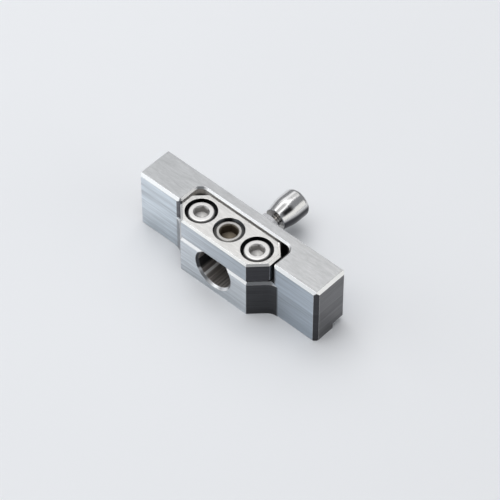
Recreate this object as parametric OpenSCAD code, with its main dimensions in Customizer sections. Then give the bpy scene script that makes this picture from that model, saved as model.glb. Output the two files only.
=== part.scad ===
// Stub-bar clamp: a rectangular steel bar whose middle carries a blind seat for a round shank.
// A loose clamp plate lies in a pocket over the seat. Two cap screws pull it down against lift
// springs, a central set screw pushes a pad onto the shank, and a spring plunger in the back wall
// reaches into the blind end of the seat. Millimetres, +Z up. The origin is in the middle of the
// bar's length, on its front face, at its underside.

/* [Bar] */
// length of the bar, end to end
bar_len = 90; // [74:1:140]
// thickness of the bar, front face to back face
bar_w = 16; // [15:0.5:22]
// height of the bar
bar_h = 27; // [26:0.5:34]
// bevel along the top front edge and the two top end edges
top_bevel = 1.1; // [0.4:0.1:2]
// bevel down the two front upright corners
front_corner = 1.6; // [0.5:0.1:3]
// bevel down the two back upright corners
back_corner = 1.0; // [0.3:0.1:2]
// small bevel on the other outer edges
deburr = 0.4; // [0.1:0.1:0.8]
// width of the lip the bar stands on, measured from the front face
lip_w = 9.5; // [7:0.5:12]
// height of the step cut along the bottom of the back
step_h = 3.0; // [1:0.5:5]

/* [Front block] */
// how far the block stands out from the bar's front face
block_out = 7; // [5:0.5:10]
// width of the block's flat front
block_w = 33.2; // [31:0.2:40]
// radius of the hollow fillet between each slanted flank and the bar
flank_fillet = 6.25; // [3:0.25:8]
// bevel along the block's top edge
block_bevel = 0.9; // [0.3:0.1:1.5]

/* [Plate pocket] */
// depth of the pocket, from the bar's front face to its back wall
pocket_depth = 11.25; // [10:0.25:12]
// how far each side wall stands inside the foot of the slanted flank
wall_inset = 0.35; // [0.2:0.05:1]
// radius of the two inside corners
pocket_r = 3.25; // [2:0.25:4]
// radius of the two upright edges where the pocket opens through the bar's front face
mouth_round = 1.8; // [1.5:0.1:2.4]
// bevel round the pocket's rim
rim_bevel = 0.75; // [0.3:0.05:1]

/* [Clamp plate] */
// thickness of the plate, whose top is level with the bar's
plate_t = 9; // [8.5:0.1:9.5]
// gap left under the plate at rest
plate_gap = 0.8; // [0.6:0.1:1]
// gap between the plate and each side wall
side_gap = 0.8; // [0.5:0.05:1]
// gap between the plate and the back wall
back_gap = 0.85; // [0.5:0.05:1.1]
// how far the plate's front is set back from the block's front
front_setback = 0.3; // [0.1:0.1:1]
// bevel of the plate's two back corners in plan
plate_corner = 4.8; // [4:0.1:6]
// bevel round the plate's top edge
plate_bevel = 0.8; // [0.3:0.1:1.2]

/* [Shank seat] */
// diameter of the seat, that of the shank it takes
seat_d = 16; // [15:0.5:16.5]
// how far the seat's axis lies below the block's top
seat_drop = 5.7; // [5.2:0.1:6.2]
// depth of the seat from the block's front
seat_depth = 15; // [12:0.5:16]
// bevel round the seat's mouth
mouth_bevel = 1.0; // [0.4:0.1:1.4]

/* [Cap screws] */
// distance between the two cap screws
screw_span = 28; // [27:0.5:29]
// distance of all three screws behind the bar's front face
screw_y = 1.95; // [1:0.05:3]
// thread diameter
screw_d = 6; // [5:0.5:6]
// head diameter
head_d = 10; // [9:0.5:10.5]
// head height
head_h = 6; // [5:0.5:6.5]
// width across the flats of the head's socket
key_af = 5; // [4:0.5:5]
// threaded length under the head
screw_len = 16; // [14:0.5:17]
// how far the heads lie below the plate's top
head_sink = 0.3; // [0.1:0.1:0.8]
// diameter of the well each head sits in
well_d = 12.5; // [12:0.1:13]
// thickness of the washer under each head
washer_t = 1.0; // [0.6:0.1:1.6]

/* [Lift springs] */
// wire thickness
lift_wire = 0.9; // [0.6:0.1:1]
// number of turns
lift_turns = 4; // [3:1:5]
// depth of the pocket that each spring stands in
spring_pocket = 5; // [4:0.5:6]

/* [Set screw] */
// thread diameter
set_d = 12; // [10:0.5:12]
// width across the flats of its socket
set_af = 6; // [5:0.5:6]
// how far it lies below the plate's top
set_sink = 0.6; // [0.3:0.1:0.8]
// diameter of the pad under it
pad_d = 9; // [7:0.5:9.5]
// thickness of the pad
pad_t = 1.0; // [0.8:0.1:1.2]

/* [Spring plunger] */
// thread diameter of the plunger's barrel
barrel_d = 8; // [8:0.25:9]
// width across the flats of the barrel's hexagon
hex_af = 9; // [9:0.25:11]
// length of the barrel's hexagon
hex_len = 6; // [4:0.5:8]
// thickness of the lock nut
nut_t = 3; // [2:0.5:4]
// width across the flats of the lock nut
nut_af = 10; // [10:0.25:12]
// diameter of the pin's nose
nose_d = 5.9; // [5:0.1:6]
// how far the nose reaches into the seat
nose_reach = 4; // [2:0.5:4.5]
// how far the pin can be drawn back
pull = 5; // [3:0.5:5]
// diameter of the knob
knob_d = 12; // [11:0.1:13]
// diameter of the knob's small end
knob_face_d = 9.4; // [8:0.1:10.5]
// length of the knob with its neck
knob_len = 15.8; // [14:0.1:20]
// radius of the small end's rounded rim
face_round = 1; // [0.5:0.1:1.5]
// length of the knob's taper with that rim
taper_len = 5.9; // [4:0.1:7]
// radius of the knob's rounded far end
end_round = 1.4; // [0.5:0.1:2]
// diameter of the knob's neck
neck_d = 4.4; // [4:0.1:5]
// length of the knob's neck
neck_len = 2.4; // [2:0.1:4]
// how far the stem reaches into the knob
stem_hold = 8.7; // [6:0.1:10]

/* [Fits] */
// radial gap between a thread or a sliding pin and its hole
fit_gap = 0.05; // [0.03:0.01:0.08]
// radial gap between the knob and the stem it is bonded to
bond_gap = 0.02; // [0.01:0.01:0.04]
// gap between two faces that turn or stop against each other
face_gap = 0.04; // [0.02:0.01:0.08]

/* [Hidden] */
$fn = 96;
block_h = bar_h - plate_t - plate_gap;
seat_z = block_h - seat_drop;
block_hw = block_w / 2;
foot_x = block_hw + block_out;
foot_run = flank_fillet * tan(22.5);
fillet_x = foot_x + foot_run;
pocket_hw = foot_x - wall_inset;
plate_z = block_h + plate_gap;
plate_hw = pocket_hw - side_gap;
plate_front = front_setback - block_out;
plate_back = pocket_depth - back_gap;
plate_front_hw = block_hw - front_setback;
plate_run = plate_hw - plate_front_hw;
screw_x = screw_span / 2;
head_top = bar_h - head_sink;
head_z = head_top - head_h;
washer_top = head_z - face_gap;
well_z = washer_top - washer_t;
tip_z = head_z - screw_len;
hole_floor = tip_z - 1.2;
pocket_z = block_h - spring_pocket;
lift_gap = 0.1;
lift_len = plate_z - pocket_z - 0.04;
lift_r = screw_d / 2 + 0.4 + lift_wire / 2;
spring_well_r = lift_r + lift_wire / 2 + 0.3;
set_top = bar_h - set_sink;
set_z = plate_z + pad_t;
seat_r = seat_d / 2;
mouth_y = -block_out;
seat_end = mouth_y + seat_depth;
nose_r = nose_d / 2;
bore_r = nose_r + fit_gap;
nose_y = seat_end - nose_reach;
hex_y = bar_w + nut_t;
hex_end = hex_y + hex_len;
cap_t = 2.5;
bore_end = hex_end - cap_t;
stem_r = 1.5;
coil_closed = 3.5;
nose_len = bore_end - pull - coil_closed - nose_y;
coil_y = nose_y + nose_len;
coil_wire = 0.5;
coil_turns = 6;
coil_r = stem_r + 0.5 + coil_wire / 2;
knob_y = hex_end + face_gap;
knob_r = knob_d / 2;
knob_end = knob_y + knob_len;
knob_face_r = knob_face_d / 2;
knob_face_y = knob_y + neck_len;
neck_r = neck_d / 2;

// waste taken off an upper edge that runs from p to q, with the body on its left;
// before and after are how far the waste runs past the two ends
module edge_waste(p, q, z, leg, before, after) {
  run = norm(q - p) + before + after;
  turn = atan2(q.y - p.y, q.x - p.x);
  translate([p.x, p.y, z])
    rotate([0, 0, turn])
      translate([-before, 0, 0])
        rotate([90, 0, 90])
          linear_extrude(run)
            polygon([[-1, -leg - 1], [leg + 1, 1], [-1, 1]]);
}

// the same waste on a lower edge at height z
module lower_edge_waste(p, q, z, leg, before, after) {
  translate([0, 0, 2 * z])
    mirror([0, 0, 1])
      edge_waste(p, q, z, leg, before, after);
}

// waste on every upper edge of a convex outline, given counter-clockwise
module outline_waste(outline, z, leg) {
  last = len(outline) - 1;
  for (i = [0 : last])
    edge_waste(outline[i], outline[i == last ? 0 : i + 1], z, leg, 1, 1);
}

// holds what follows on the plunger's axis, with +Z turned to point out of the back
module on_plunger_axis() {
  translate([0, 0, seat_z])
    rotate([-90, 0, 0])
      children();
}

// a round body turned from a profile of [radius, height] corners
module turned(profile) {
  rotate_extrude()
    polygon(profile);
}

// a hexagonal socket of width af, cut down from height top, with a bevelled mouth and a drilled floor
module hex_socket(af, top, deep) {
  across = af / cos(30);
  mouth = across / 2 + 0.25;
  translate([0, 0, top - deep])
    cylinder(h = deep + 1, d = across, $fn = 6);
  translate([0, 0, top - 0.5])
    cylinder(h = 1, r1 = mouth - 0.5, r2 = mouth + 0.5);
  translate([0, 0, top - deep - af * 0.12])
    cylinder(h = af * 0.12 + 0.01, r1 = 0.4, r2 = af / 2 - 0.05);
}

// a coil of round wire standing on z = 0, its ends as high as length
module coil(mean_r, wire, length, turns) {
  sides = 8;
  steps = 14 * turns;
  rise = length - wire;
  points = [
    for (i = [0 : steps], j = [0 : sides - 1])
      let (a = 360 * turns * i / steps, b = 360 * j / sides)
        let (r = mean_r + wire / 2 * cos(b))
          [r * cos(a), r * sin(a), wire / 2 + rise * i / steps + wire / 2 * sin(b)]
  ];
  skin = [
    for (i = [0 : steps - 1], j = [0 : sides - 1], half = [0, 1])
      let (k = (j + 1) % sides, low = i * sides, high = low + sides)
        half == 0 ? [low + j, low + k, high + k] : [low + j, high + k, high + j]
  ];
  start = [[for (j = [sides - 1 : -1 : 0]) j]];
  finish = [[for (j = [0 : sides - 1]) steps * sides + j]];
  polyhedron(points, concat(skin, start, finish));
}

// the bar before anything is milled into it: upright corners bevelled in plan, step along the back
module bar_blank() {
  half = bar_len / 2;
  difference() {
    linear_extrude(bar_h)
      polygon([
        [front_corner - half, 0],
        [half - front_corner, 0],
        [half, front_corner],
        [half, bar_w - back_corner],
        [half - back_corner, bar_w],
        [back_corner - half, bar_w],
        [-half, bar_w - back_corner],
        [-half, front_corner]
      ]);
    translate([-half - 1, lip_w, -1])
      cube([bar_len + 2, bar_w, step_h + 1]);
    edge_waste([-half, 0], [half, 0], bar_h, top_bevel, 1, 1);
    edge_waste([half, 0], [half, bar_w], bar_h, top_bevel, 1, 1);
    edge_waste([half, bar_w], [-half, bar_w], bar_h, deburr, 1, 1);
    edge_waste([-half, bar_w], [-half, 0], bar_h, top_bevel, 1, 1);
    lower_edge_waste([-half, 0], [half, 0], 0, deburr, 1, 1);
    lower_edge_waste([half, 0], [half, lip_w], 0, deburr, 1, 1);
    lower_edge_waste([-half, lip_w], [-half, 0], 0, deburr, 1, 1);
    lower_edge_waste([half, lip_w], [-half, lip_w], 0, deburr, 1, 1);
    lower_edge_waste([half, bar_w], [-half, bar_w], step_h, deburr, 1, 1);
  }
}

// plan of the block: flat front, two 45-degree flanks, each run into the bar by a hollow fillet
module block_plan() {
  back = lip_w / 2;
  near_x = foot_x - foot_run * cos(45);
  near_y = -foot_run * sin(45);
  difference() {
    polygon([
      [-block_hw, mouth_y],
      [block_hw, mouth_y],
      [near_x, near_y],
      [fillet_x, 0],
      [fillet_x, back],
      [-fillet_x, back],
      [-fillet_x, 0],
      [-near_x, near_y]
    ]);
    for (side = [-1, 1])
      translate([side * fillet_x, -flank_fillet])
        circle(r = flank_fillet);
  }
}

// waste of the bevel along the block's top edge, which dies out against the bar
module block_top_waste() {
  near_x = foot_x - foot_run * cos(45);
  near_y = -foot_run * sin(45);
  reach = 2 * flank_fillet;
  intersection() {
    union() {
      edge_waste([-block_hw, mouth_y], [block_hw, mouth_y], block_h, block_bevel, 1, 1);
      edge_waste([block_hw, mouth_y], [near_x, near_y], block_h, block_bevel, 1, 0);
      edge_waste([-near_x, near_y], [-block_hw, mouth_y], block_h, block_bevel, 0, 1);
      for (side = [-1, 1])
        intersection() {
          translate([side * fillet_x, -flank_fillet, block_h - block_bevel])
            cylinder(h = block_bevel, r1 = flank_fillet, r2 = flank_fillet + block_bevel);
          translate([side * fillet_x, -flank_fillet, block_h - block_bevel])
            linear_extrude(block_bevel)
              polygon([[0, 0], [0, reach], [-side * reach, reach]]);
        }
    }
    translate([-fillet_x - 1, mouth_y - 2, 0])
      cube([2 * fillet_x + 2, block_out + 2, block_h]);
  }
}

// waste that rounds one upright edge of the pocket's opening and carries the rim's bevel round it
module mouth_waste(side) {
  base = bar_h - rim_bevel;
  over = (mouth_round - rim_bevel) / 2;
  translate([side * (pocket_hw + mouth_round), mouth_round, 0])
    difference() {
      translate([side < 0 ? 0 : -mouth_round - 1, -mouth_round - 1, block_h])
        cube([mouth_round + 1, mouth_round + 1, bar_h - block_h + 1]);
      translate([0, 0, block_h - 1])
        cylinder(h = base - block_h + 1, r = mouth_round);
      translate([0, 0, base])
        cylinder(h = rim_bevel + over, r1 = mouth_round, r2 = over);
    }
}

// waste of the pocket the plate lies in, open to the front, with its bevelled rim
module pocket_waste() {
  corner_x = pocket_hw - pocket_r;
  corner_y = pocket_depth - pocket_r;
  open_y = mouth_y - 2;
  translate([0, 0, block_h])
    linear_extrude(bar_h - block_h + 1)
      union() {
        translate([-pocket_hw, open_y])
          square([2 * pocket_hw, corner_y - open_y]);
        translate([-corner_x, open_y])
          square([2 * corner_x, pocket_depth - open_y]);
        for (side = [-1, 1])
          translate([side * corner_x, corner_y])
            circle(r = pocket_r);
      }
  edge_waste([-pocket_hw, mouth_round], [-pocket_hw, corner_y], bar_h, rim_bevel, 0, 0);
  edge_waste([-corner_x, pocket_depth], [corner_x, pocket_depth], bar_h, rim_bevel, 0, 0);
  edge_waste([pocket_hw, corner_y], [pocket_hw, mouth_round], bar_h, rim_bevel, 0, 0);
  for (side = [-1, 1]) {
    translate([side * corner_x, corner_y, bar_h - rim_bevel])
      cylinder(h = rim_bevel + 1, r1 = pocket_r, r2 = pocket_r + rim_bevel + 1);
    mouth_waste(side);
  }
}

module clamp_body() {
  color([0.72, 0.73, 0.75])
    difference() {
      union() {
        bar_blank();
        linear_extrude(block_h)
          block_plan();
      }
      pocket_waste();
      block_top_waste();
      on_plunger_axis() {
        translate([0, 0, mouth_y - 1])
          cylinder(h = seat_depth + 1, r = seat_r);
        translate([0, 0, mouth_y - 1])
          cylinder(h = mouth_bevel + 1, r1 = seat_r + mouth_bevel + 1, r2 = seat_r);
        cylinder(h = bar_w + 1, d = barrel_d + 2 * fit_gap);
      }
      for (side = [-1, 1])
        translate([side * screw_x, screw_y, 0]) {
          translate([0, 0, hole_floor])
            cylinder(h = bar_h, d = screw_d + 2 * fit_gap);
          translate([0, 0, pocket_z])
            cylinder(h = bar_h, r = spring_well_r);
        }
    }
}

module clamp_plate() {
  outline = [
    [-plate_front_hw, plate_front],
    [plate_front_hw, plate_front],
    [plate_hw, plate_front + plate_run],
    [plate_hw, plate_back - plate_corner],
    [plate_hw - plate_corner, plate_back],
    [plate_corner - plate_hw, plate_back],
    [-plate_hw, plate_back - plate_corner],
    [-plate_hw, plate_front + plate_run]
  ];
  color([0.80, 0.79, 0.77])
    difference() {
      translate([0, 0, plate_z])
        linear_extrude(bar_h - plate_z)
          polygon(outline);
      outline_waste(outline, bar_h, plate_bevel);
      translate([0, 0, 2 * plate_z])
        mirror([0, 0, 1])
          outline_waste(outline, plate_z, deburr / 2);
      for (side = [-1, 1])
        translate([side * screw_x, screw_y, 0]) {
          cylinder(h = bar_h + 1, d = screw_d + 0.6);
          translate([0, 0, well_z])
            cylinder(h = bar_h, d = well_d);
        }
      translate([0, screw_y, 0])
        cylinder(h = bar_h + 1, d = set_d + 2 * fit_gap);
    }
}

// one socket-head cap screw at its working height, on the Z axis
module cap_screw() {
  head_r = head_d / 2;
  thread_r = screw_d / 2;
  color([0.74, 0.75, 0.77])
    difference() {
      turned([
        [0, tip_z],
        [thread_r - 0.6, tip_z],
        [thread_r, tip_z + 0.6],
        [thread_r, head_z],
        [head_r - 0.15, head_z],
        [head_r, head_z + 0.15],
        [head_r, head_top - 0.5],
        [head_r - 0.5, head_top],
        [0, head_top]
      ]);
      hex_socket(key_af, head_top, head_h / 2);
    }
}

module left_cap_screw() {
  translate([-screw_x, screw_y, 0])
    cap_screw();
}

module right_cap_screw() {
  translate([screw_x, screw_y, 0])
    cap_screw();
}

// one flat washer lying on the floor of its well
module washer() {
  color([0.66, 0.67, 0.69])
    difference() {
      translate([0, 0, well_z])
        cylinder(h = washer_t, r = well_d / 2 - 0.25);
      translate([0, 0, well_z - 1])
        cylinder(h = washer_t + 2, r = screw_d / 2 + 2 * fit_gap);
    }
}

module left_screw_washer() {
  translate([-screw_x, screw_y, 0])
    washer();
}

module right_screw_washer() {
  translate([screw_x, screw_y, 0])
    washer();
}

// one lift spring, from the floor of its pocket to the plate's underside
module lift_spring() {
  color([0.55, 0.56, 0.58])
    translate([0, 0, pocket_z + 0.02])
      coil(lift_r, lift_wire, lift_len, lift_turns);
}

module left_lift_spring() {
  translate([-screw_x, screw_y, 0])
    lift_spring();
}

module right_lift_spring() {
  translate([screw_x, screw_y, 0])
    lift_spring();
}

module set_screw() {
  thread_r = set_d / 2;
  spigot_r = pad_d * 0.22;
  color([0.60, 0.57, 0.53])
    translate([0, screw_y, 0])
      difference() {
        turned([
          [0, set_z],
          [thread_r - 1, set_z],
          [thread_r, set_z + 1],
          [thread_r, set_top - 0.8],
          [thread_r - 1.1, set_top],
          [0, set_top]
        ]);
        hex_socket(set_af, set_top, 4);
        translate([0, 0, set_z - 1])
          cylinder(h = 1 + pad_t * 2, r = spigot_r + fit_gap);
      }
}

module pressure_pad() {
  pad_r = pad_d / 2;
  spigot_r = pad_d * 0.22;
  color([0.70, 0.60, 0.35])
    translate([0, screw_y, 0])
      turned([
        [0, plate_z],
        [pad_r - 0.3, plate_z],
        [pad_r, plate_z + 0.3],
        [pad_r, set_z - face_gap],
        [spigot_r, set_z - face_gap],
        [spigot_r, set_z + pad_t * 2 - 0.5],
        [spigot_r - 0.3, set_z + pad_t * 2 - 0.2],
        [0, set_z + pad_t * 2 - 0.2]
      ]);
}

module plunger_barrel() {
  barrel_r = barrel_d / 2;
  corner_r = hex_af / 2 / cos(30);
  color([0.76, 0.77, 0.79])
    on_plunger_axis()
      difference() {
        union() {
          turned([
            [0, seat_end],
            [barrel_r - 0.5, seat_end],
            [barrel_r, seat_end + 0.5],
            [barrel_r, hex_y + 0.5],
            [0, hex_y + 0.5]
          ]);
          intersection() {
            translate([0, 0, hex_y])
              cylinder(h = hex_len, r = corner_r, $fn = 6);
            turned([
              [0, hex_y],
              [hex_af / 2, hex_y],
              [corner_r, hex_y + 0.4],
              [corner_r, hex_end - 0.4],
              [hex_af / 2, hex_end],
              [0, hex_end]
            ]);
          }
        }
        translate([0, 0, seat_end - 1])
          cylinder(h = bore_end - seat_end + 1, r = bore_r);
        translate([0, 0, seat_end])
          cylinder(h = hex_end - seat_end + 1, r = stem_r + fit_gap);
      }
}

module plunger_lock_nut() {
  corner_r = nut_af / 2 / cos(30);
  color([0.66, 0.67, 0.70])
    on_plunger_axis()
      difference() {
        intersection() {
          translate([0, 0, bar_w])
            cylinder(h = nut_t, r = corner_r, $fn = 6);
          turned([
            [0, bar_w],
            [nut_af / 2, bar_w],
            [corner_r, bar_w + 0.4],
            [corner_r, hex_y - 0.4],
            [nut_af / 2, hex_y],
            [0, hex_y]
          ]);
        }
        translate([0, 0, bar_w - 1])
          cylinder(h = nut_t + 2, d = barrel_d + 2 * fit_gap);
      }
}

module plunger_pin() {
  stem_end = knob_y + stem_hold;
  color([0.70, 0.71, 0.74])
    on_plunger_axis()
      turned([
        [0, nose_y],
        [nose_r - 0.8, nose_y],
        [nose_r, nose_y + 0.8],
        [nose_r, coil_y],
        [stem_r, coil_y],
        [stem_r, stem_end],
        [0, stem_end]
      ]);
}

module plunger_spring() {
  color([0.55, 0.56, 0.58])
    on_plunger_axis()
      translate([0, 0, coil_y + 0.02])
        coil(coil_r, coil_wire, bore_end - coil_y - 0.04, coil_turns);
}

module pull_knob() {
  color([0.86, 0.86, 0.87])
    on_plunger_axis()
      difference() {
        turned([
          [0, knob_y],
          [neck_r, knob_y],
          [neck_r, knob_face_y],
          for (a = [0:15:90])
            [knob_face_r - face_round * (1 - sin(a)), knob_face_y + face_round * (1 - cos(a))],
          [knob_r, knob_face_y + taper_len],
          for (a = [0:15:90])
            [knob_r - end_round * (1 - cos(a)), knob_end - end_round * (1 - sin(a))],
          [0, knob_end]
        ]);
        translate([0, 0, knob_y - 1])
          cylinder(h = 1 + stem_hold + 0.1, r = stem_r + bond_gap);
      }
}

clamp_body();
clamp_plate();
left_cap_screw();
right_cap_screw();
left_screw_washer();
right_screw_washer();
left_lift_spring();
right_lift_spring();
set_screw();
pressure_pad();
plunger_barrel();
plunger_lock_nut();
plunger_pin();
plunger_spring();
pull_knob();
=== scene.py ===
import math

import bpy
import numpy as np
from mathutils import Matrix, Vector


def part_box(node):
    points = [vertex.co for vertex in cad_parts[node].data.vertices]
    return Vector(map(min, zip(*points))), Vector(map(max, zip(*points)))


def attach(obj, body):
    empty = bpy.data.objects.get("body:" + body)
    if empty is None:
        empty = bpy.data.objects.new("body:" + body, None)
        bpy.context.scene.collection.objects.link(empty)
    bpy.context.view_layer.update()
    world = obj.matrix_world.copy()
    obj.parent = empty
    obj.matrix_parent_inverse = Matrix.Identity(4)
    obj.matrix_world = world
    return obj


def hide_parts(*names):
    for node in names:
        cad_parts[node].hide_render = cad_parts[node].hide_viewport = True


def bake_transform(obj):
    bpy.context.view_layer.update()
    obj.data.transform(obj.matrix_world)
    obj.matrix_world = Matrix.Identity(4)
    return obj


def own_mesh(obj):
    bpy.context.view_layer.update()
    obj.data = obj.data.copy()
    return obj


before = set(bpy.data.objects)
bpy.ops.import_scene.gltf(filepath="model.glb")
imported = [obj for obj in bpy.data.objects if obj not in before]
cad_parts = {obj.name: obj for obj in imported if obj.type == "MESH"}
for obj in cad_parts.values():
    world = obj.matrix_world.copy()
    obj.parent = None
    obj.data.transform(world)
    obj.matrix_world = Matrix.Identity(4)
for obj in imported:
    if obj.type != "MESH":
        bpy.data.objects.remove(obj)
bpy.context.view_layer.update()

MM = 0.001
TURN = 2.0 * math.pi

# places on the clamp that the finishes follow, in millimetres
SCREW_X = 14.0                     # the cap screws, to either side of the middle
SCREW_Y = 1.95                     # the line that all three screws stand on
CAP_TOP, SET_TOP = 26.7, 26.4      # below these the cap screws and the set screw are hollow
SEAT_Z = 11.5                      # the round seat's axis, which the plunger shares
SEAT_R, SEAT_END = 8.0, 8.0        # the seat's radius, and where it ends towards the back


# ---------------------------------------------------------------- shader maths

class Value:
    """A number or colour that changes over a surface: a node's output. Arithmetic on it adds Math nodes."""

    def __init__(self, finish, socket):
        self.finish = finish
        self.socket = socket

    def maths(self, operation, *numbers):
        return self.finish.node("ShaderNodeMath", {"operation": operation}, numbers)["Value"]

    def __add__(self, other): return self.maths("ADD", self, other)
    def __radd__(self, other): return self.maths("ADD", other, self)
    def __sub__(self, other): return self.maths("SUBTRACT", self, other)
    def __rsub__(self, other): return self.maths("SUBTRACT", other, self)
    def __mul__(self, other): return self.maths("MULTIPLY", self, other)
    def __rmul__(self, other): return self.maths("MULTIPLY", other, self)
    def __abs__(self): return self.maths("ABSOLUTE", self)

    def most(self, other): return self.maths("MAXIMUM", self, other)
    def root(self): return self.maths("SQRT", self)
    def turn(self, across): return self.maths("ARCTAN2", self, across)

    def ramp(self, low, high):
        """0 below low, 1 above high, smooth between; low may be the larger, which turns it round."""
        settings = {"interpolation_type": "SMOOTHSTEP", "clamp": True}
        sockets = {"Value": self, "From Min": low, "From Max": high}
        return self.finish.node("ShaderNodeMapRange", settings, sockets)["Result"]


class Outputs:
    """A node's outputs, each as a Value, by name or by place."""

    def __init__(self, finish, made):
        self.finish = finish
        self.made = made

    def __getitem__(self, key):
        return Value(self.finish, self.made.outputs[key])


class Finish:
    """One material. x, y, z are a spot's place on the clamp in millimetres, nx, ny, nz the way it faces."""

    def __init__(self, name):
        self.material = bpy.data.materials.new(name)
        self.material.use_nodes = True
        self.tree = self.material.node_tree
        self.tree.nodes.clear()
        coordinates = self.node("ShaderNodeTexCoord")
        self.spot = self.dim(coordinates["Object"], 1.0 / MM)
        self.x, self.y, self.z = self.parts(self.spot)
        self.nx, self.ny, self.nz = self.parts(coordinates["Normal"])

    def node(self, kind, settings=None, sockets=()):
        """Adds any node: its type, its settings, then its sockets' values or links.

        sockets is a list in the node's own order, or a dictionary by name or place.
        """
        made = self.tree.nodes.new(kind)
        for key, value in (settings or {}).items():
            setattr(made, key, value)
        for key, value in sockets.items() if isinstance(sockets, dict) else enumerate(sockets):
            socket = made.inputs[key]
            if isinstance(value, Value):
                self.tree.links.new(value.socket, socket)
            else:
                socket.default_value = (*value, 1.0) if socket.type == "RGBA" else value
        return Outputs(self, made)

    def parts(self, vector):
        xyz = self.node("ShaderNodeSeparateXYZ", {}, [vector])
        return xyz["X"], xyz["Y"], xyz["Z"]

    def vector(self, x, y, z):
        return self.node("ShaderNodeCombineXYZ", {}, [x, y, z])["Vector"]

    def noise(self, where, scale, detail, rough=0.5):
        """Smooth random values round 0.5; scale is in lumps per millimetre."""
        sockets = {"Vector": where, "Scale": scale, "Detail": detail, "Roughness": rough}
        return self.node("ShaderNodeTexNoise", {}, sockets)["Fac"]

    def stretched(self, x, y, z, detail, rough=0.5):
        """Noise on the clamp with x, y and z lumps per millimetre along those axes."""
        where = self.vector(self.x * x, self.y * y, self.z * z)
        return self.noise(where, 1.0, detail, rough)

    def blend(self, share, a, b):
        """Colour a where share is 0, colour b where it is 1."""
        colour_a, colour_b, colour_out = 6, 7, 2        # the Mix node's sockets for colours, by place
        sockets = {"Factor": share, colour_a: a, colour_b: b}
        return self.node("ShaderNodeMix", {"data_type": "RGBA"}, sockets)[colour_out]

    def layers(self, colour, *coats):
        """A colour with coats over it, one after another, each a (share, colour) pair."""
        for share, coat in coats:
            colour = self.blend(share, colour, coat)
        return colour

    def dim(self, colour, share):
        """A colour or vector times a number, through Vector Math so that a colour keeps its hue."""
        sockets = {"Vector": colour, "Scale": share}
        return self.node("ShaderNodeVectorMath", {"operation": "SCALE"}, sockets)["Vector"]

    def soft_edges(self, radius):
        """Normals rounded off at sharp edges, and how strongly each spot is rounded, from 0 to 1."""
        rounded = self.node("ShaderNodeBevel", {"samples": 6}, {"Radius": radius * MM})["Normal"]
        flat = self.node("ShaderNodeNewGeometry")["Normal"]
        same = self.node("ShaderNodeVectorMath", {"operation": "DOT_PRODUCT"}, [rounded, flat])["Value"]
        return rounded, same.ramp(0.998, 0.93)

    def shader(self, sockets):
        """Ends the finish in one shader and gives the material."""
        made = self.node("ShaderNodeBsdfPrincipled", {}, sockets)
        self.node("ShaderNodeOutputMaterial", {}, {"Surface": made["BSDF"]})
        return self.material

    def metal(self, colour, roughness, metallic, marks, strength, reach, normal):
        """Ends the finish in metal, with marks raised on it by a bump that reaches so many millimetres."""
        bump = {"Strength": strength, "Distance": reach * MM, "Height": marks, "Normal": normal}
        return self.shader({
            "Base Color": colour, "Roughness": roughness, "Metallic": metallic,
            "Normal": self.node("ShaderNodeBump", {}, bump)["Normal"],
        })


# ---------------------------------------------------------------- finishes

def level_of(f):
    """How level, how upright and how sloping a spot on a straight-edged piece is, each from 0 to 1."""
    up = abs(f.nz).ramp(0.80, 0.97)
    upright = abs(f.nz).ramp(0.5, 0.3)
    return up, upright, (1.0 - up) * (1.0 - upright)


def cut_marks(f, up):
    """Long cutter streaks on upright faces and short ground grain on level ones, both along the bar.

    Returned with them is the height of the soft ridges that the cutter leaves.
    """
    long = f.stretched(0.007, 0.009, 0.55, detail=3.0, rough=0.8)
    short = f.stretched(0.06, 0.06, 0.9, detail=2.0, rough=0.7)
    grain = f.stretched(0.15, 1.1, 1.1, detail=4.0, rough=0.9)
    streaks = long * 0.65 + short * 0.35
    ridges = f.stretched(0.02, 0.03, 1.2, detail=1.0)
    return streaks + (grain - streaks) * up, ridges


def reamed_seat_with_painted_light(f):
    """Where the round seat is, from 0 to 1, and its colour: reamed streaks along its axis, with one painted
    highlight streak and painted shade over one side of the wall.
    """
    rise = f.z - SEAT_Z
    from_axis = (f.x * f.x + rise * rise).root()
    in_seat = from_axis.ramp(SEAT_R + 0.16, SEAT_R + 0.10) * f.y.ramp(SEAT_END + 0.12, SEAT_END + 0.06)
    round_axis = rise.turn(f.x)
    unrolled = f.vector(round_axis * 9.0, f.y * 0.03, 0.0)
    reamed = f.noise(unrolled, scale=1.0, detail=4.0, rough=0.75)
    # painted highlight: one bright streak along the seat; below it, painted shade over one side of its wall
    painted_highlight = abs(round_axis + 2.235).ramp(0.10, 0.04)
    shaded = round_axis.ramp(-2.45, -2.70)
    wall = f.blend(shaded, (0.40, 0.37, 0.35), (0.05, 0.05, 0.05))
    wall = f.dim(wall, 0.05 + reamed * reamed * 2.4)
    return in_seat, f.blend(painted_highlight, wall, (0.95, 0.95, 0.95))


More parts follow.
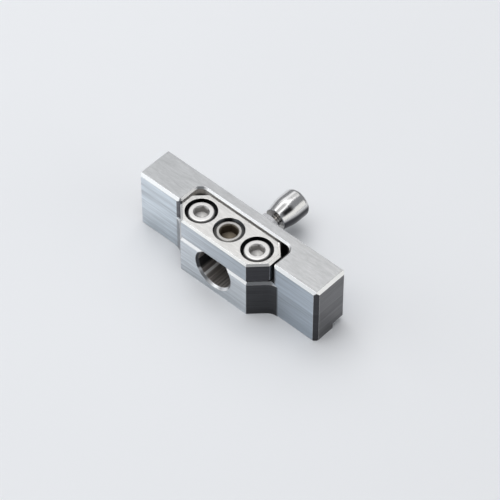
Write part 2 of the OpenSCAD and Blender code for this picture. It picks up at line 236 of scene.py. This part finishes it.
def milled_steel():
    """The bar: ground on top, side-milled in long streaks, reamed inside the seat, with painted highlights on
    its bevels and painted light and shade on its faces.
    """
    f = Finish("milled stainless steel")
    up, upright, slope = level_of(f)
    marks, ridges = cut_marks(f, up)
    clouds = f.noise(f.spot, scale=0.09, detail=3.0)
    rounded, edge = f.soft_edges(0.18)
    in_seat, seat = reamed_seat_with_painted_light(f)

    left = f.x.ramp(40.0, -40.0)
    ends = abs(f.nx).ramp(0.90, 0.98)
    # faces and roundings that turn away from the front to either side, painted in shade
    to_front = f.ny.ramp(-0.2, -0.4) * upright
    right_turn_shade = f.nx.ramp(0.02, 0.12) * to_front
    left_turn_shade = f.nx.ramp(-0.12, -0.30) * to_front
    # bevels that face the front right corner, and the rounded edge behind the right end, both painted in
    # shade
    corner_bevel_shade = slope * f.nx.ramp(0.2, 0.35) * f.ny.ramp(-0.2, -0.35)
    back_edge = upright * f.x.ramp(43.5, 44.0) * f.y.ramp(14.3, 14.7)
    back_corner_shade = back_edge * f.nx.ramp(0.1, 0.3) * f.ny.ramp(0.1, 0.3)
    # the upright walls of the pocket, the back one, and the corner at its left; the walls are painted in
    # shade, the back one and the top of the left corner painted lighter, as if lit
    in_pocket = f.z.ramp(17.2, 17.3) * f.y.ramp(0.9, 1.6) * f.y.ramp(11.6, 11.4)
    in_pocket = in_pocket * abs(f.x).ramp(23.7, 23.5) * upright
    back_wall = in_pocket * f.ny.ramp(-0.95, -0.99) * f.x.ramp(19.0, 14.0)
    lit_back_left = (in_pocket - back_wall) * f.z.ramp(22.5, 24.7) * f.x.ramp(5.0, -5.0)

    # a blend's first colour is the right end's or the foot's, its second the left end's or the top's,
    # and the block's front has one of its own. They paint light and shade: the sides darker towards the right
    # and the block's front lighter, the end face and the pocket's back wall darker towards the foot, the
    # flank and the pocket's walls darker towards the right; the top is a little lighter towards the right
    side = f.blend(left, (0.47, 0.527, 0.587), (0.665, 0.722, 0.77))
    block_front = f.y.ramp(-6.5, -6.9)
    side = f.blend(block_front, side, (0.675, 0.715, 0.75))
    top = f.blend(left, (0.435, 0.437, 0.44), (0.405, 0.411, 0.418))
    end = f.blend(f.z.ramp(2.0, 8.0), (0.135, 0.135, 0.14), (0.15, 0.15, 0.155))
    flank = f.blend(f.x.ramp(-15.0, -20.0), (0.055, 0.056, 0.06), (0.16, 0.16, 0.17))
    pocket = f.blend(f.x.ramp(15.0, -5.0), (0.03, 0.03, 0.03), (0.16, 0.15, 0.14))
    back_wall_light = f.blend(f.z.ramp(23.5, 25.0), (0.52, 0.50, 0.48), (0.88, 0.86, 0.83))
    # painted shade: the sides darker towards the foot
    shade_towards_foot = 0.86 + f.z.ramp(2.0, 16.0) * 0.14
    # over the sides: painted shade on the turns and the corners, painted highlights on the bevels, painted
    # light on the pocket's back wall and its left corner, painted shade on its other walls
    colour = f.layers(
        f.dim(side, shade_towards_foot),
        (up, top), (ends, end), (right_turn_shade, flank), (left_turn_shade, (0.30, 0.31, 0.33)),
        (slope, (0.93, 0.93, 0.93)), (corner_bevel_shade, (0.40, 0.41, 0.42)),
        (back_corner_shade, (0.07, 0.07, 0.075)), (in_seat, seat), (in_pocket, pocket),
        (lit_back_left, (0.74, 0.69, 0.645)), (back_wall, back_wall_light),
    )
    # streaks and grain show on the flat faces only; wear and a painted highlight on their edges
    plain = 1.0 - in_seat.most(slope)
    depth = (1.5 - up * 0.65 + ends * 0.6 + left * upright * 0.6) * plain
    colour = f.dim(colour, 1.0 + (marks - 0.5) * depth + (clouds - 0.5) * 0.10)
    wear_and_glint = edge * (0.75 - up * 0.5) * (1.0 - in_seat.most(slope).most(back_edge))
    colour = f.blend(wear_and_glint, colour, (0.95, 0.95, 0.95))
    roughness = 0.30 + (marks - 0.5) * 0.12 - edge * 0.08 + in_seat * 0.10 + in_pocket * 0.25
    metallic = 1.0 - in_seat * 0.6 - back_wall.most(lit_back_left) * 0.7 - left_turn_shade * 0.6
    return f.metal(colour, roughness, metallic, ridges, strength=0.2, reach=0.02, normal=rounded)


def ground_steel():
    """The clamp plate: a little warmer than the bar, ground fine along its length, with painted highlights on
    its bevels and painted shade on its right flank, its back, in the screws' wells and towards the right.
    """
    f = Finish("ground stainless steel")
    up, upright, slope = level_of(f)
    marks, ridges = cut_marks(f, up)
    clouds = f.noise(f.spot, scale=0.12, detail=3.0)
    rounded, edge = f.soft_edges(0.18)

    # painted shade on the flank that faces the front right
    right_flank_shade = f.nx.ramp(0.3, 0.6) * f.ny.ramp(-0.3, -0.6) * upright
    to_back = f.ny.ramp(0.3, 0.5)
    # the walls of the two wells that the cap screws' heads stand in, painted in shade
    aside, ahead = abs(f.x) - SCREW_X, f.y - SCREW_Y
    well = (aside * aside + ahead * ahead).root().ramp(6.45, 6.35) * upright

    # painted light and shade: the sides darker towards the right, a bright highlight on the bevels, the back
    # faces in shade and a dimmer highlight on the back bevels
    side = f.blend(f.x.ramp(20.0, -20.0), (0.46, 0.505, 0.55), (0.58, 0.62, 0.66))
    back = f.blend(slope, (0.22, 0.21, 0.20), (0.80, 0.78, 0.75))
    colour = f.layers(
        side, (up, (0.56, 0.552, 0.538)), (right_flank_shade, (0.05, 0.05, 0.055)),
        (slope, (0.93, 0.92, 0.90)), (to_back, back),
    )
    tone = 1.0 + (marks - 0.5) * (1.5 - up * 0.6) * (1.0 - slope) + (clouds - 0.5) * 0.14
    colour = f.dim(f.dim(colour, tone), 1.0 - well * 0.85)
    # wear and a painted highlight on the edges
    wear_and_glint = edge * (0.7 - up * 0.45) * (1.0 - to_back.most(slope))
    colour = f.blend(wear_and_glint, colour, (0.95, 0.94, 0.92))
    roughness = 0.30 + (marks - 0.5) * 0.12 - edge * 0.08
    return f.metal(colour, roughness, 1.0, ridges, strength=0.2, reach=0.02, normal=rounded)


def turned_steel(name, colour, roughness, wear_and_glint=0.6, hollow=None, deep=None, rim=9.0):
    """Screws, washers, nut and barrel: fine turning marks, brighter at the edges with wear and a painted
    highlight.

    hollow is (x, y, radius, height): inside that radius and below that height a socket is rougher and painted
    in shade, in the colour deep. Past rim the colour darkens too, painted shade in a thread's grooves.
    """
    f = Finish(name)
    speck = f.noise(f.spot, scale=1.3, detail=4.0, rough=0.6)
    fine = f.noise(f.spot, scale=6.0, detail=2.0)
    rounded, edge = f.soft_edges(0.1)
    tone = f.blend(speck, [0.94 * c for c in colour], [min(1.0, 1.06 * c) for c in colour])
    shade = f.blend(edge * wear_and_glint, tone, (0.92, 0.91, 0.90))
    rough = roughness + (speck - 0.5) * 0.1
    metallic = 1.0
    if hollow is not None:
        x, y, radius, height = hollow
        aside, ahead = abs(f.x) - x, f.y - y
        out = (aside * aside + ahead * ahead).root()
        inside = out.ramp(radius + 0.05, radius - 0.15) * f.z.ramp(height + 0.05, height - 0.3)
        groove = out.ramp(rim, rim + 0.1) * f.z.ramp(height - 0.02, height - 0.3)
        # past the top's rim: a cap screw's knurled side down in its well, or the set screw's thread
        flank = out.ramp(4.80, 4.92) * f.z.ramp(height, height - 0.4)
        # painted shade in the socket and in the thread's grooves
        shade = f.dim(f.blend(inside, shade, deep), 1.0 - groove * 0.65)
        rough = rough + inside * 0.2
        metallic = 1.0 - flank * 0.7
    return f.metal(shade, rough, metallic, fine, strength=0.12, reach=0.01, normal=rounded)


def polished_steel(name, colour, roughness):
    """The knob: polished bright, streaked along its length, with painted reflections: a grey streak, a dark
    patch, a dark small end and black towards its underside.
    """
    f = Finish(name)
    fine = f.stretched(0.4, 9.0, 0.4, detail=3.0)
    rise = f.z - SEAT_Z
    side = abs(f.ny).ramp(0.9, 0.6)
    # painted reflection: black towards the underside
    under = f.nz.ramp(0.48, 0.18) * side
    small_end = f.ny.ramp(-0.5, -0.95)
    neck = (f.x * f.x + rise * rise).root().ramp(2.7, 2.4) * f.y.ramp(30.0, 29.0)
    # painted shade on the small end and the neck, with a painted highlight on their right side
    dull = f.blend(f.x.ramp(0.0, 2.0) * (1.0 - neck), (0.42, 0.40, 0.38), (0.85, 0.83, 0.80))
    shade = f.layers(colour, (small_end.most(neck), dull), (under, (0.05, 0.05, 0.055)))
    # painted reflections: a grey streak along the upper left, broad on the taper, and a dark patch where
    # taper meets grip
    round_axis = f.nz.turn(f.nx)
    painted_streak = abs(round_axis - 1.45).ramp(0.22, 0.05) * 0.42
    painted_streak = painted_streak + abs(round_axis - 1.50).ramp(0.42, 0.25) * f.y.ramp(33.5, 31.5) * 0.30
    hollow = abs(round_axis - 0.96).ramp(0.28, 0.06) * abs(f.y - 30.9).ramp(3.4, 1.2) * 0.92
    tone = (0.92 + fine * 0.16) * (1.0 - painted_streak * side) * (1.0 - hollow * side)
    rounded, _ = f.soft_edges(0.1)
    rough = roughness + (fine - 0.5) * 0.08
    return f.metal(f.dim(shade, tone), rough, 1.0, fine, strength=0.05, reach=0.01, normal=rounded)


# ---------------------------------------------------------------- shapes

def profile(corners, steps=6):
    """Points along straight lines through (radius, height) corners, lowest first.

    A third number on a corner rounds it: from that far before the corner C, at A, to that far after it,
    at B, the line follows (1-t)^2 A + 2t(1-t) C + t^2 B with t from 0 to 1.
    """
    corners = [tuple(c) + (0.0,) * (3 - len(c)) for c in corners]
    spots = np.array([c[:2] for c in corners])
    t = np.linspace(0.0, 1.0, steps)[:, None]
    line = []
    for k, (_, _, cut) in enumerate(corners):
        if cut == 0.0:
            line.append(spots[k][None])
            continue
        back, ahead = spots[k - 1] - spots[k], spots[(k + 1) % len(corners)] - spots[k]
        a = spots[k] + cut * back / np.linalg.norm(back)
        b = spots[k] + cut * ahead / np.linalg.norm(ahead)
        line.append((1 - t) ** 2 * a + 2 * t * (1 - t) * spots[k] + t**2 * b)
    return np.concatenate(line)


def angles(columns):
    """Angles of that many columns, evenly round a full turn."""
    return np.arange(columns) * TURN / columns


def corner_of(af):
    """Distance from the middle of a hexagon of width af across its flats to its corners."""
    return af / 2 / math.cos(math.pi / 6)


def hexagon(af, theta):
    """Distance from the middle to a hexagon of width af across its flats, a corner lying at theta = 0."""
    return af / 2 / np.cos((theta % (TURN / 6)) - TURN / 12)


def thread_depth(height, theta, pitch):
    """0 on a thread's crest and 1 at its root.

    It is a triangle wave of height / pitch - theta / turn, its outer eighth and inner quarter cut flat.
    """
    share = (height / pitch - theta / TURN) % 1.0
    return np.clip((1.0 - abs(2.0 * share - 1.0) - 0.125) / 0.625, 0.0, 1.0)


def upright(radius, height, theta, x, y):
    """Points round a Z axis at x, y: (x + r cos t, y + r sin t, height), in millimetres."""
    return np.stack([x + radius * np.cos(theta), y + radius * np.sin(theta), height + 0 * radius], -1)


def lying(radius, along, theta, x, z):
    """Points round a Y axis at x, z: (x + r cos t, along, z - r sin t), in millimetres."""
    return np.stack([x + radius * np.cos(theta), along + 0 * radius, z - radius * np.sin(theta)], -1)


def make_piece(name, points, finish, ends="poles"):
    """A closed skin over points[row, column]; columns run round and close on themselves.

    ends="poles" shrinks the first and last row to one point each; ends="ring" joins last row to first.
    """
    sharp_from = 34.0
    columns = points.shape[1]
    body = points[1:-1] if ends == "poles" else points
    ring = np.arange(body.shape[0] * columns).reshape(-1, columns)
    spots = body.reshape(-1, 3)
    below, above = (ring[:-1], ring[1:]) if ends == "poles" else (ring, np.roll(ring, -1, axis=0))
    after = lambda row: np.roll(row, -1, axis=-1)
    faces = np.stack([below, after(below), after(above), above], -1).reshape(-1, 4).tolist()
    if ends == "poles":
        low, high = np.full(columns, len(spots)), np.full(columns, len(spots) + 1)
        spots = np.concatenate([spots, points[:1, 0], points[-1:, 0]])
        faces += np.stack([low, after(ring[0]), ring[0]], -1).tolist()
        faces += np.stack([high, ring[-1], after(ring[-1])], -1).tolist()
    mesh = bpy.data.meshes.new(name)
    mesh.from_pydata((spots * MM).tolist(), [], faces)
    mesh.shade_smooth()
    mesh.set_sharp_from_angle(angle=math.radians(sharp_from))
    mesh.materials.append(finish)
    piece = bpy.data.objects.new(name, mesh)
    bpy.context.collection.objects.link(piece)
    return piece


def extent(node):
    """A node's lowest and highest corner in millimetres."""
    low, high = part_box(node)
    return np.array(low) / MM, np.array(high) / MM


def upright_extent(node):
    """A turned node's axis x, y, its radius, and its lowest and highest point, in millimetres."""
    low, high = extent(node)
    x, y = (low[:2] + high[:2]) / 2
    return x, y, (high[0] - low[0]) / 2, low[2], high[2]


def socket_rows(af, top, deep, theta, lead=0.25):
    """Rows of a hexagonal socket, from its bevelled mouth down to the drilled point.

    The wall is the larger of the mouth's cone and the hexagon; the floor steps in to a round and runs
    down a shallow cone to the axis. lead is how far the mouth opens past the corners.
    """
    down = np.linspace(0.0, 0.55, 9)[:, None]
    mouth = np.maximum(corner_of(af) + lead - down, hexagon(af, theta))
    wall = np.repeat(hexagon(af, theta)[None], 3, axis=0)
    floor = np.array([af / 2 - 0.06, af / 2 - 0.25, 0.35, 0.0])
    floor = np.repeat(floor[:, None], len(theta), axis=1)
    fall = np.array([0.02, 0.06, af * 0.13, af * 0.14])
    radius = np.concatenate([mouth, wall, floor])
    height = [top - down[:, 0], top - deep + np.array([0.3, 0.05, 0.0]), top - deep - fall]
    return radius, np.repeat(np.concatenate(height)[:, None], len(theta), axis=1)


def stack_rows(*blocks):
    """Joins blocks of (radius, height) rows into two whole grids."""
    return tuple(np.concatenate([block[k] for block in blocks]) for k in (0, 1))


def round_rows(line, theta):
    """Rows of a plain turned profile: each point's radius and height all the way round."""
    return np.repeat(line[:, :1], len(theta), axis=1), np.repeat(line[:, 1:2], len(theta), axis=1)


def hexagon_rows(af, near, far, near_bevel, far_bevel, theta):
    """Rows of a bevelled hexagon: the smaller of the hexagon and a cone at each end.

    A bevel is (inset, length): its cone runs between a radius inset within the flats, at the end face,
    and the corners, length further in.
    """
    corner = corner_of(af)
    t = np.linspace(0.0, 1.0, 8)
    inset, length = near_bevel
    rise = np.stack([af / 2 - inset + (corner - af / 2 + inset) * t, near + length * t], -1)
    inset, length = far_bevel
    fall = np.stack([corner - (corner - af / 2 + inset) * t, far - length + length * t], -1)
    radius, reach = round_rows(np.concatenate([rise, fall]), theta)
    return np.minimum(radius, hexagon(af, theta)), reach


# ---------------------------------------------------------------- screws, washers, pad

def make_cap_screw(node, body, finish):
    """Socket-head cap screw: threaded shank, knurled head with a rounded rim, hexagonal socket.

    The shank is the smaller of the thread, which fades out below the head, and a cone at the tip.
    The knurl is a cosine wave round the head, faded out towards its foot and its rim.
    """
    x, y, head_r, tip, top = upright_extent(node)
    shank_r, head_h, key, socket_deep = 3.0, 6.0, 5.0, 3.0
    pitch, groove, knurls, knurl_deep = 1.0, 0.61, 48, 0.07
    under = top - head_h
    knurl_low, knurl_high = under + 0.5, top - 1.0
    theta = angles(144)
    foot = round_rows(np.array([[0.0, tip], [1.2, tip], [2.1, tip]]), theta)
    z = np.linspace(tip + 0.05, under - 0.25, 190)[:, None]
    run_out = np.clip((under - 0.5 - z) / 0.8, 0.0, 1.0)
    shank = np.minimum(shank_r - groove * thread_depth(z, theta, pitch) * run_out, 2.2 + (z - tip))
    neck = profile([(shank_r, under - 0.2), (shank_r, under, 0.12), (head_r - 0.1, under),
                    (head_r, under + 0.12), (head_r, under + 0.3)])
    z_head = np.linspace(knurl_low, knurl_high, 5)[:, None]
    fade = np.clip((z_head - knurl_low) * 4, 0, 1) * np.clip((knurl_high - z_head) * 4, 0, 1)
    knurl = head_r - knurl_deep * (0.5 + 0.5 * np.cos(knurls * theta)) * fade
    rim = profile([(head_r, top - 0.8), (head_r, top, 0.62), (3.3, top)], steps=10)
    radius, height = stack_rows(
        foot, (shank, z + 0 * theta), round_rows(neck, theta), (knurl, z_head + 0 * theta),
        round_rows(rim, theta), socket_rows(key, top, socket_deep, theta),
    )
    screw = make_piece(node + "_turned", upright(radius, height, theta, x, y), finish)
    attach(screw, body)
    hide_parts(node)


def make_set_screw(finish):
    """Socket set screw: coarse thread that runs out on the end bevels, socket above, pad's seat below.

    Its wall is the smallest of the thread and a cone at either end.
    """
    x, y, thread_r, bottom, top = upright_extent("set_screw")
    pitch, groove, key, socket_deep, lead = 1.75, 1.02, 6.0, 4.0, 0.36
    pad_hole_r, pad_hole_deep = 2.03, 2.0
    theta = angles(96)
    foot = profile([(0.0, bottom + pad_hole_deep), (pad_hole_r, bottom + pad_hole_deep),
                    (pad_hole_r, bottom, 0.15), (4.6, bottom)])
    z = np.linspace(bottom + 0.02, top - 0.02, 84)[:, None]
    bevels = np.minimum(4.9 + (z - bottom), 4.62 + (top - z) * 1.4)
    wall = np.minimum(thread_r - 0.02 - groove * thread_depth(z, theta, pitch), bevels)
    face = profile([(4.64, top - 0.01), (4.55, top, 0.08), (4.0, top)])
    radius, height = stack_rows(
        round_rows(foot, theta), (wall, z + 0 * theta), round_rows(face, theta),
        socket_rows(key, top, socket_deep, theta, lead),
    )
    screw = make_piece("set_screw_turned", upright(radius, height, theta, x, y), finish)
    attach(screw, "middle_screw")
    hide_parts("set_screw")


def make_washer(node, finish):
    """Flat washer with softened rims: a closed rectangle with rounded corners, turned."""
    x, y, outer, bottom, top = upright_extent(node)
    hole = 3.1
    theta = angles(96)
    line = profile([(hole, bottom, 0.1), (outer, bottom, 0.12), (outer, top, 0.2), (hole, top, 0.2)], steps=5)
    radius, height = round_rows(line, theta)
    washer = make_piece(node + "_turned", upright(radius, height, theta, x, y), finish, ends="ring")
    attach(washer, "plate")
    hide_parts(node)


def make_pad(finish):
    """Brass pad: a turned disc with a bevelled foot and the spigot that holds it in the set screw."""
    x, y, pad_r, bottom, top = upright_extent("pressure_pad")
    spigot_r, thick = 1.98, 0.96
    theta = angles(72)
    line = profile([(0.0, bottom), (pad_r, bottom, 0.35), (pad_r, bottom + thick, 0.1),
                    (spigot_r, bottom + thick, 0.06), (spigot_r, top, 0.3), (0.0, top)])
    radius, height = round_rows(line, theta)
    pad = make_piece("pressure_pad_turned", upright(radius, height, theta, x, y), finish)
    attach(pad, "pad")
    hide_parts("pressure_pad")


# ---------------------------------------------------------------- springs

def spring_points(mean_r, wire, low, high, turns, steps, sides):
    """Tube round a helix whose ends lie closed and are ground flat: radius, height and angle grids.

    The middle line is at mean_r, at angle a = turns * full turn * s. It climbs by about half the wire
    along each closed end, and evenly over the free turns between them. The tube goes round it by (cos b)
    outwards and (sin b) upwards, and height is then held between the two ground ends.
    """
    s = np.linspace(0.0, 1.0, steps)[:, None]
    b = angles(sides)
    a = turns * TURN * s
    closed = 0.8 / turns
    free = np.clip((s - closed) / (1.0 - 2.0 * closed), 0.0, 1.0)
    climb = 0.55 * wire * (np.minimum(s, closed) + np.maximum(s - 1.0 + closed, 0.0)) / closed
    middle = low + wire * 0.3 + climb + (high - low - wire * 1.7) * free
    radius = mean_r + wire / 2 * np.cos(b) * np.ones_like(s)
    height = np.clip(middle + wire / 2 * np.sin(b), low, high)
    cut = np.ones((1, sides))
    radius = np.concatenate([mean_r * cut, radius, mean_r * cut])
    height = np.concatenate([(low + wire * 0.4) * cut, height, (high - wire * 0.4) * cut])
    angle = np.concatenate([a[:1], a, a[-1:]]) + 0 * radius
    return radius, height, angle


def make_lift_spring(node, screw_node, finish):
    """Coil round a cap screw's shank, between the bar and the plate.

    Its columns are turned round, so that its faces point outwards.
    """
    x, y, _, _, _ = upright_extent(screw_node)
    low, high = extent(node)
    radius, height, angle = spring_points(
        mean_r=3.85, wire=0.9, low=low[2], high=high[2], turns=4.6, steps=260, sides=12)
    points = upright(radius, height, angle, x, y)[:, ::-1]
    spring = make_piece(node + "_wound", points, finish)
    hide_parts(node)
    x * MM
    y * MM
    x * MM
    y * MM
    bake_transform(spring)


# ---------------------------------------------------------------- plunger, on one Y axis at x, z

def make_barrel(x, z, finish):
    """Threaded barrel with a hexagon behind it, hollow for the pin and the spring.

    The thread is the smaller of the wave and a cone at the front. The skin goes out along the thread
    and the hexagon and back along the bore, and closes as a ring.
    """
    low, high = extent("plunger_barrel")
    front, back, af = low[1], high[1], high[2] - low[2]
    hex_start = extent("plunger_lock_nut")[1][1]
    thread_r, groove, pitch, bore_r, stem_hole_r, wall_thick = 3.98, 0.58, 1.0, 3.0, 1.55, 2.5
    theta = angles(96)
    start = np.array([[bore_r, front + 0.12], [bore_r + 0.12, front]])
    along = np.linspace(front, hex_start - 0.05, 130)[:, None]
    thread = np.minimum(thread_r - groove * thread_depth(along, theta, pitch), 3.35 + (along - front))
    inside = profile([(2.0, back), (stem_hole_r, back - 0.4), (stem_hole_r, back - wall_thick),
                      (bore_r, back - wall_thick, 0.2), (bore_r, front + 0.3)], steps=4)
    radius, reach = stack_rows(
        round_rows(start, theta), (thread, along + 0 * theta),
        round_rows(np.array([[4.0, hex_start]]), theta),
        hexagon_rows(af, hex_start, back, (0.08, 0.4), (0.25, 0.55), theta), round_rows(inside, theta),
    )
    barrel = make_piece("plunger_barrel_turned", lying(radius, reach, theta, x, z), finish, ends="ring")
    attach(barrel, "base")
    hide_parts("plunger_barrel")


def make_lock_nut(x, z, finish):
    """Lock nut: a hexagon bevelled at both ends round a plain hole, closed as a ring."""
    low, high = extent("plunger_lock_nut")
    near, far, af = low[1], high[1], high[2] - low[2]
    bevel, hole_r, lead = (0.2, 0.45), 4.05, 0.4
    theta = angles(96)
    hole = np.array([[hole_r + lead, far], [hole_r, far - lead],
                     [hole_r, near + lead], [hole_r + lead, near]])
    radius, reach = stack_rows(hexagon_rows(af, near, far, bevel, bevel, theta), round_rows(hole, theta))
    nut = make_piece("plunger_lock_nut_turned", lying(radius, reach, theta, x, z), finish, ends="ring")
    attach(nut, "base")
    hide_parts("plunger_lock_nut")


def make_pin(x, z, finish):
    """Pin: a rounded nose in front of the spring's shoulder and the thin stem that carries the knob."""
    low, high = extent("plunger_pin")
    tip, stem_end, shoulder = low[1], high[1], extent("plunger_spring")[0][1]
    nose_r, pin_r, stem_r = 2.2, 2.95, 1.5
    theta = angles(96)
    line = profile([(0.0, tip), (nose_r, tip, 0.3), (pin_r, tip + 0.85, 0.5), (pin_r, shoulder, 0.15),
                    (stem_r, shoulder, 0.1), (stem_r, stem_end, 0.2), (0.0, stem_end)])
    radius, reach = round_rows(line, theta)
    pin = make_piece("plunger_pin_turned", lying(radius, reach, theta, x, z), finish)
    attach(pin, "plunger")
    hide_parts("plunger_pin")


def make_return_spring(x, z, finish):
    """Coil round the stem, inside the barrel, which the knob presses together when pulled; here it is
    attached to the base and keeps its length.
    """
    low, high = extent("plunger_spring")
    radius, reach, angle = spring_points(
        mean_r=2.25, wire=0.5, low=low[1], high=high[1], turns=7.4, steps=330, sides=10)
    spring = make_piece("plunger_spring_wound", lying(radius, reach, -angle, x, z), finish)
    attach(spring, "base")
    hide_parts("plunger_spring")
    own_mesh(spring)


def make_knob(x, z, finish):
    """Pull knob: a neck, a small flat end, a taper and a straight grip with a rounded far edge."""
    low, high = extent("pull_knob")
    knob_r, first, last = (high[0] - low[0]) / 2, low[1], high[1]
    hole_r, neck_r, small_r = 1.52, 2.2, 4.65
    hole_end, small_end, grip_start = first + 8.8, first + 2.4, first + 8.3
    theta = angles(96)
    line = profile([(0.0, hole_end), (hole_r, hole_end), (hole_r, first), (neck_r, first, 0.12),
                    (neck_r, small_end, 0.5), (small_r, small_end, 0.4), (knob_r, grip_start, 2.2),
                    (knob_r, last, 1.9), (0.0, last)], steps=12)
    radius, reach = round_rows(line, theta)
    knob = make_piece("pull_knob_turned", lying(radius, reach, theta, x, z), finish)
    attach(knob, "plunger")
    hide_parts("pull_knob")


# ---------------------------------------------------------------- studio

def direction(azimuth, elevation):
    """Unit vector from the clamp towards that azimuth, counted from the front to the right, and height."""
    a, e = math.radians(azimuth), math.radians(elevation)
    return np.array([math.sin(a) * math.cos(e), -math.cos(a) * math.cos(e), math.sin(e)])


def make_camera():
    """A long lens a metre away, aimed a little to the right of and below the clamp's middle."""
    azimuth, elevation, distance = 42.80, 48.73, 1045.488
    to_right, to_foot = 3.623, 2.159
    back = direction(azimuth, elevation)
    right = direction(azimuth + 90.0, 0.0)
    top = np.cross(back, right)
    middle = np.array([0.0, 8.0, 13.92]) * MM
    lens = bpy.data.cameras.new("camera")
    lens.sensor_width = 36.0
    lens.lens = 201.624336
    lens.clip_start, lens.clip_end = 0.01, 50.0
    camera = bpy.data.objects.new("camera", lens)
    bpy.context.collection.objects.link(camera)
    eye = middle + back * distance * MM
    aim = middle + right * to_right * MM - top * to_foot * MM
    camera.location = Vector(eye)
    camera.rotation_euler = Vector(aim - eye).to_track_quat("-Z", "Y").to_euler()
    bpy.context.scene.camera = camera


def make_lamp(name, azimuth, elevation, distance, wide, high, brightness, tint=(1.0, 1.0, 1.0)):
    """A soft box aimed at the clamp's middle, its sizes in metres.

    brightness is what a mirror shows of it, 1 being white.
    """
    light = bpy.data.lights.new(name, "AREA")
    light.shape = "RECTANGLE"
    light.size, light.size_y = wide, high
    light.energy = brightness * math.pi * wide * high
    light.color = tint
    lamp = bpy.data.objects.new(name, light)
    bpy.context.collection.objects.link(lamp)
    away = direction(azimuth, elevation)
    middle = np.array([0.0, 8.0, 12.0]) * MM
    lamp.location = Vector(away * distance + middle)
    lamp.rotation_euler = Vector(-away).to_track_quat("-Z", "Y").to_euler()


def make_floor():
    """A plain pale table under the clamp, square and level."""
    half = 4.0
    mesh = bpy.data.meshes.new("table_top")
    corners = [(-half, -half, 0.0), (half, -half, 0.0), (half, half, 0.0), (-half, half, 0.0)]
    mesh.from_pydata(corners, [], [(0, 1, 2, 3)])
    floor = bpy.data.objects.new("table_top", mesh)
    bpy.context.collection.objects.link(floor)
    f = Finish("pale table")
    shade = f.blend(f.noise(f.spot, scale=0.004, detail=2.0), (0.84, 0.85, 0.87), (0.87, 0.88, 0.90))
    mesh.materials.append(f.shader({"Base Color": shade, "Roughness": 0.6, "Specular IOR Level": 0.2}))


def make_world():
    """Plain grey light from all round."""
    world = bpy.data.worlds.new("studio")
    bpy.context.scene.world = world
    world.use_nodes = True
    background = world.node_tree.nodes["Background"]
    background.inputs["Color"].default_value = (0.62, 0.64, 0.67, 1.0)
    background.inputs["Strength"].default_value = 0.42


make_camera()
make_world()
make_floor()
make_lamp("overhead", azimuth=-137.0, elevation=49.0, distance=0.9, wide=0.9, high=0.6, brightness=0.80)
make_lamp("ceiling", azimuth=-60.0, elevation=80.0, distance=1.6, wide=2.0, high=1.4, brightness=1.95)
make_lamp("front_left", azimuth=-50.0, elevation=29.0, distance=0.9, wide=0.75, high=0.36, brightness=1.05,
          tint=(0.95, 0.98, 1.0))
make_lamp("back_right", azimuth=106.0, elevation=18.0, distance=0.9, wide=0.9, high=0.52, brightness=0.72,
          tint=(1.0, 0.99, 0.95))
bpy.context.scene.view_settings.view_transform = "Standard"


# ---------------------------------------------------------------- the clamp

body_steel = milled_steel()
plate_steel = ground_steel()
screw_steel = turned_steel(
    "cold-headed steel", (0.59, 0.58, 0.57), roughness=0.33, wear_and_glint=0.40,
    hollow=(SCREW_X, SCREW_Y, 2.95, CAP_TOP), deep=(0.52, 0.51, 0.50))
set_steel = turned_steel(
    "dull turned steel", (0.39, 0.38, 0.365), roughness=0.36, wear_and_glint=0.35,
    hollow=(0.0, SCREW_Y, 3.75, SET_TOP), deep=(0.18, 0.155, 0.12), rim=4.6)
washer_steel = turned_steel("satin steel", (0.58, 0.58, 0.60), roughness=0.34)
wire_steel = turned_steel("drawn wire", (0.48, 0.48, 0.50), roughness=0.3)
pad_brass = turned_steel("turned brass", (0.70, 0.52, 0.24), roughness=0.3)
barrel_steel = turned_steel("turned stainless steel", (0.42, 0.42, 0.432), roughness=0.27)
pin_steel = turned_steel("ground pin steel", (0.64, 0.64, 0.66), roughness=0.22)
knob_steel = polished_steel("polished steel", (0.78, 0.775, 0.77), roughness=0.19)

for node, finish in (("clamp_body", body_steel), ("clamp_plate", plate_steel)):
    for place in bpy.data.objects[node].material_slots:
        place.material = finish

make_cap_screw("left_cap_screw", "left_screw", screw_steel)
make_cap_screw("right_cap_screw", "right_screw", screw_steel)
make_set_screw(set_steel)
make_washer("left_screw_washer", washer_steel)
make_washer("right_screw_washer", washer_steel)
make_pad(pad_brass)
make_lift_spring("left_lift_spring", "left_cap_screw", wire_steel)
make_lift_spring("right_lift_spring", "right_cap_screw", wire_steel)

barrel_low, barrel_high = extent("plunger_barrel")
axis_x, _, axis_z = (barrel_low + barrel_high) / 2
make_barrel(axis_x, axis_z, barrel_steel)
make_lock_nut(axis_x, axis_z, washer_steel)
make_pin(axis_x, axis_z, pin_steel)
make_return_spring(axis_x, axis_z, wire_steel)
make_knob(axis_x, axis_z, knob_steel)
